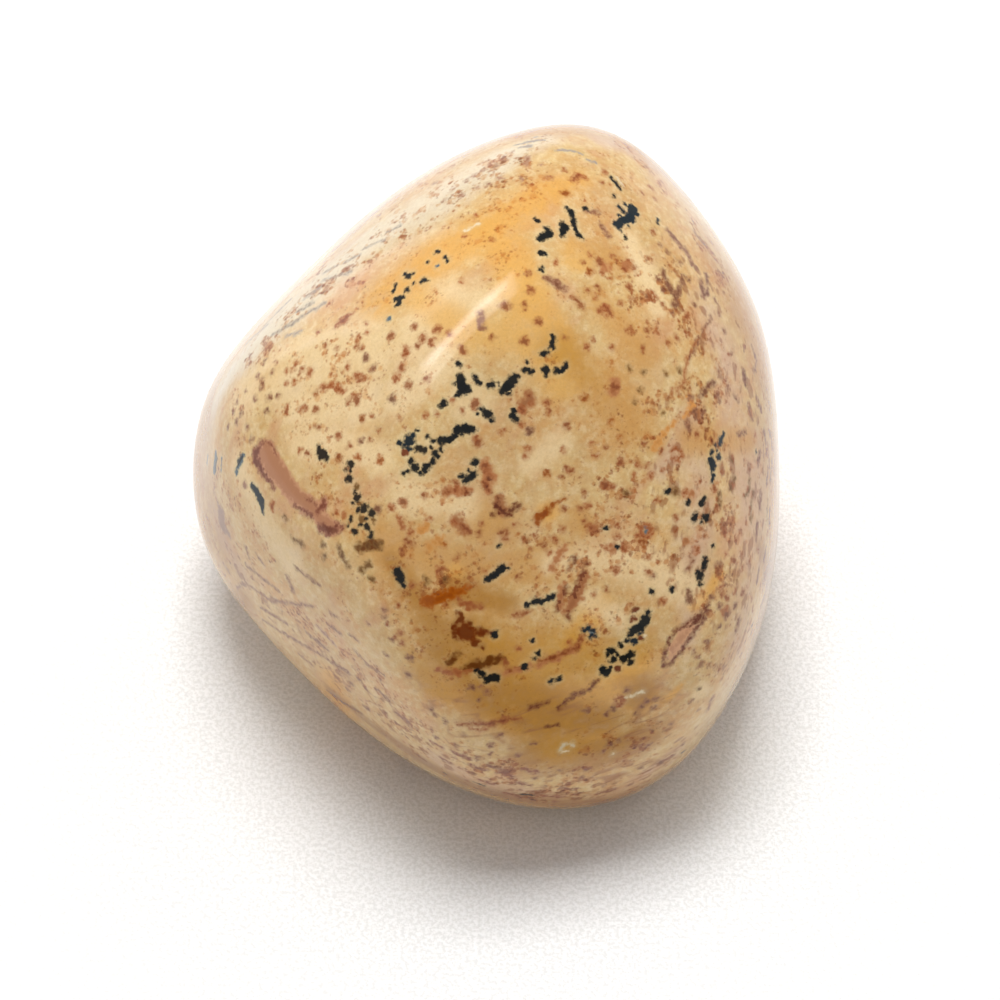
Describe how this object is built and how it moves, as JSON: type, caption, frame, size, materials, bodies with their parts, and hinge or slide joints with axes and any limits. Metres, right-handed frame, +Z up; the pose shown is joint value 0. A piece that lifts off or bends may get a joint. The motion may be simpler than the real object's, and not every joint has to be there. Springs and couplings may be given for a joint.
{
  "type": "tumbled stone",
  "caption": "Polished tumbled stone, a rounded, softly flat-sided pebble that rests on a small flat spot: cream and ochre with dark fern-like grains and rust-brown flecks.",
  "frame": {"origin": "under the middle of the stone's box, on the surface that it rests on", "axes": "+Z up from the foot, +Y along the stone's longest way, away from the viewer of the picture, +X to the viewer's right"},
  "size_m": [0.0244, 0.0266, 0.023],
  "materials": {
    "polished_jasper": "polished, waxy gloss, patterned stone"
  },
  "bodies": {
    "root": {"stone": "polished_jasper"}
  },
  "joints": []
}
